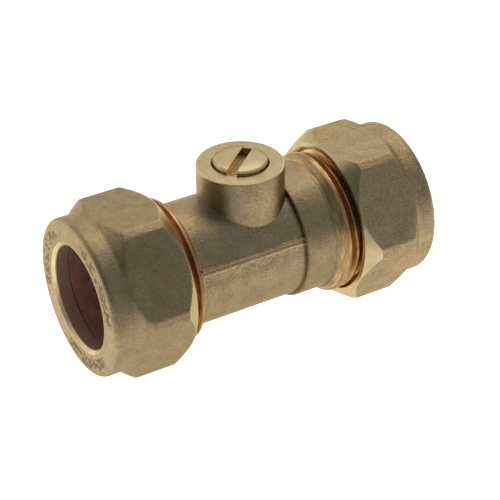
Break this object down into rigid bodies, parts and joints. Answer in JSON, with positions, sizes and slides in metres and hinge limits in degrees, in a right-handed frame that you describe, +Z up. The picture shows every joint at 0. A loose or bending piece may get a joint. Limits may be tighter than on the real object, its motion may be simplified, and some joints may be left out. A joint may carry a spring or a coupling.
{
  "type": "isolating ball valve",
  "caption": "Straight slotted-stem ball valve with a compression nut and olive at each end, for shutting off or throttling a 15 mm heating or water pipe.",
  "frame": {"origin": "centre of the ball, where the pipe axis crosses the stem axis", "axes": "+X along the pipe towards the end that holds the seat retainer, +Z up along the stem towards its screwdriver slot, +Y the third right-handed axis"},
  "size_m": [0.0528, 0.0262, 0.0263],
  "materials": {
    "forged_brass": "raw forged, fine matte grain",
    "nut_brass": "raw forged, machined bright chamfer and bore",
    "turned_brass": "turned bright",
    "plated_ball": "polished plating",
    "ptfe": "waxy white",
    "seal_rubber": "satin",
    "copper": "plain copper"
  },
  "bodies": {
    "valve_body": {"valve_body": "forged_brass", "seat_left": "ptfe", "seat_right": "ptfe", "seat_retainer": "turned_brass"},
    "stem": {"stem": "turned_brass", "stem_thrust_washer": "ptfe", "stem_oring_lower": "seal_rubber", "stem_oring_upper": "seal_rubber"},
    "ball": {"ball": "plated_ball"},
    "olive_left": {"olive_left": "copper"},
    "nut_left": {"nut_left": "nut_brass"},
    "olive_right": {"olive_right": "copper"},
    "nut_right": {"nut_right": "nut_brass"}
  },
  "joints": [
    {"name": "stem_turn", "type": "hinge", "parent": "valve_body", "child": "stem", "pos_m": [0, 0, 0.0115], "axis": [0, 0, 1], "continuous": true},
    {"name": "ball_turn", "type": "hinge", "parent": "valve_body", "child": "ball", "pos_m": [0, 0, 0], "axis": [0, 0, 1], "continuous": true},
    {"name": "olive_left_slide", "type": "slide", "parent": "valve_body", "child": "olive_left", "axis": [-1, 0, 0], "range_m": [0, 0.0055]},
    {"name": "nut_left_turn", "type": "hinge", "parent": "olive_left", "child": "nut_left", "pos_m": [-0.0202, 0, 0], "axis": [-1, 0, 0], "range_deg": [0, 1080]},
    {"name": "olive_right_slide", "type": "slide", "parent": "valve_body", "child": "olive_right", "axis": [1, 0, 0], "range_m": [0, 0.0055]},
    {"name": "nut_right_turn", "type": "hinge", "parent": "olive_right", "child": "nut_right", "pos_m": [0.0202, 0, 0], "axis": [1, 0, 0], "range_deg": [0, 1080]}
  ],
  "couplings": [
    {"joint": "ball_turn", "follows": "stem_turn", "ratio": 1},
    {"joint": "olive_left_slide", "follows": "nut_left_turn", "m_per_rad": 0.00028875},
    {"joint": "olive_right_slide", "follows": "nut_right_turn", "m_per_rad": 0.00028875}
  ]
}
